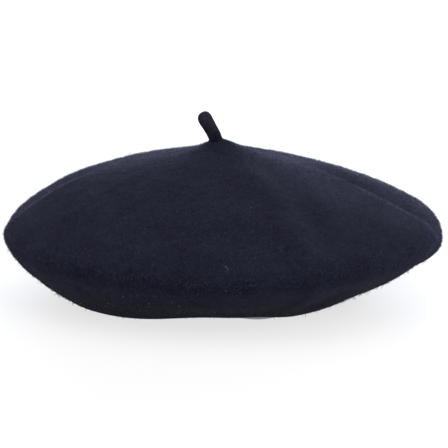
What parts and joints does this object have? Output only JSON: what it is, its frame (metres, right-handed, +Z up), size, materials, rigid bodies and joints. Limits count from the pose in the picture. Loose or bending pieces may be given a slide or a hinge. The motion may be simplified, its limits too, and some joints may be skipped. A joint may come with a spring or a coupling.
{
  "type": "beret",
  "caption": "Round soft wool-felt beret with a leaning felt stalk, turned-in hem, ribbon sweatband, satin lining and blank size label.",
  "frame": {"origin": "centre of the head opening, on the plane that the hem rests on", "axes": "+Z up through the crown, -Y the front, +X the wearer's left, towards which the crown slouches"},
  "size_m": [0.282, 0.282, 0.1158],
  "materials": {
    "crown_felt": "navy felted wool, matt with a short raised nap",
    "stalk_felt": "dense rolled wool felt, matt",
    "band_ribbon": "ribbed grey grosgrain ribbon, low sheen",
    "band_thread": "twisted grey sewing thread",
    "lining_satin": "navy satin, soft gloss",
    "lining_thread": "twisted navy sewing thread",
    "label_tape": "blank white woven tape"
  },
  "bodies": {
    "crown": {"felt_crown": "crown_felt", "stalk_knot": "stalk_felt", "sweatband": "band_ribbon", "band_stitches": "band_thread", "lining_tip": "lining_satin", "lining_side": "lining_satin", "lining_stitches": "lining_thread", "tip_tack": "lining_thread"},
    "stalk": {"stalk": "stalk_felt"},
    "label": {"size_label": "label_tape", "label_stitches": "band_thread"}
  },
  "joints": [
    {"name": "stalk_bend", "type": "hinge", "parent": "crown", "child": "stalk", "pos_m": [0.0067, 0, 0.09864], "axis": [0, 1, 0], "range_deg": [-34, 92], "stiffness_Nm_per_rad": 0.002},
    {"name": "label_flip", "type": "hinge", "parent": "crown", "child": "label", "pos_m": [0, 0.0862, 0.0291], "axis": [1, 0, 0], "range_deg": [0, 165]}
  ]
}
